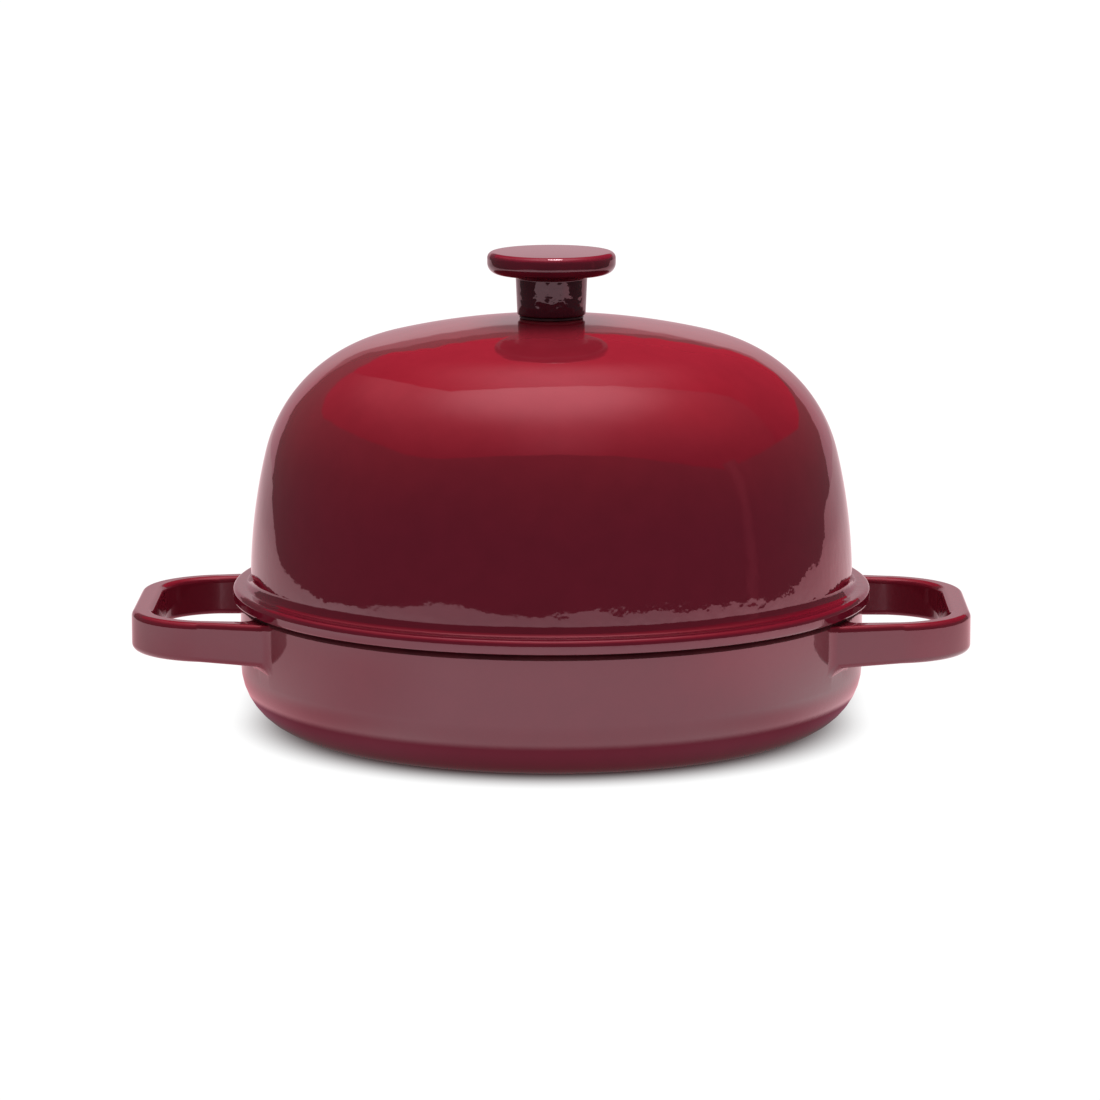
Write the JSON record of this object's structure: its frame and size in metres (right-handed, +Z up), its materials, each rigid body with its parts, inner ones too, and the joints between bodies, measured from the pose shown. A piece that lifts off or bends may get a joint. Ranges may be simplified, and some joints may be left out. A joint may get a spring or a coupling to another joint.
{
  "type": "cast iron bread oven",
  "caption": "Round enamelled cast iron bread oven: a shallow pan with loop handles under a tall domed lid that lifts off by its mushroom-shaped knob.",
  "frame": {"origin": "middle of the flat underside of the pan, on the surface that the oven stands on", "axes": "+X through both handles, +Z up along the axis of pan, lid and knob, -Y towards the viewer of the picture"},
  "size_m": [0.3404, 0.2608, 0.1933],
  "materials": {
    "pan_enamel": "glossy dark red enamel on cast iron",
    "lid_enamel": "glossy cherry red enamel on cast iron, darker towards the rim",
    "knob_enamel": "glossy dark red enamel on cast iron",
    "gasket": "matt black heat-proof silicone",
    "hardware": "plain stainless steel"
  },
  "bodies": {
    "base": {"base_pan": "pan_enamel"},
    "lid": {"dome_lid": "lid_enamel", "lid_knob": "knob_enamel", "knob_gasket": "gasket", "knob_screw": "hardware", "flat_washer": "hardware", "lock_washer": "hardware"}
  },
  "joints": [
    {"name": "lid_lift", "type": "slide", "parent": "base", "child": "lid", "axis": [0, 0, 1], "range_m": [0, 0.15]}
  ]
}
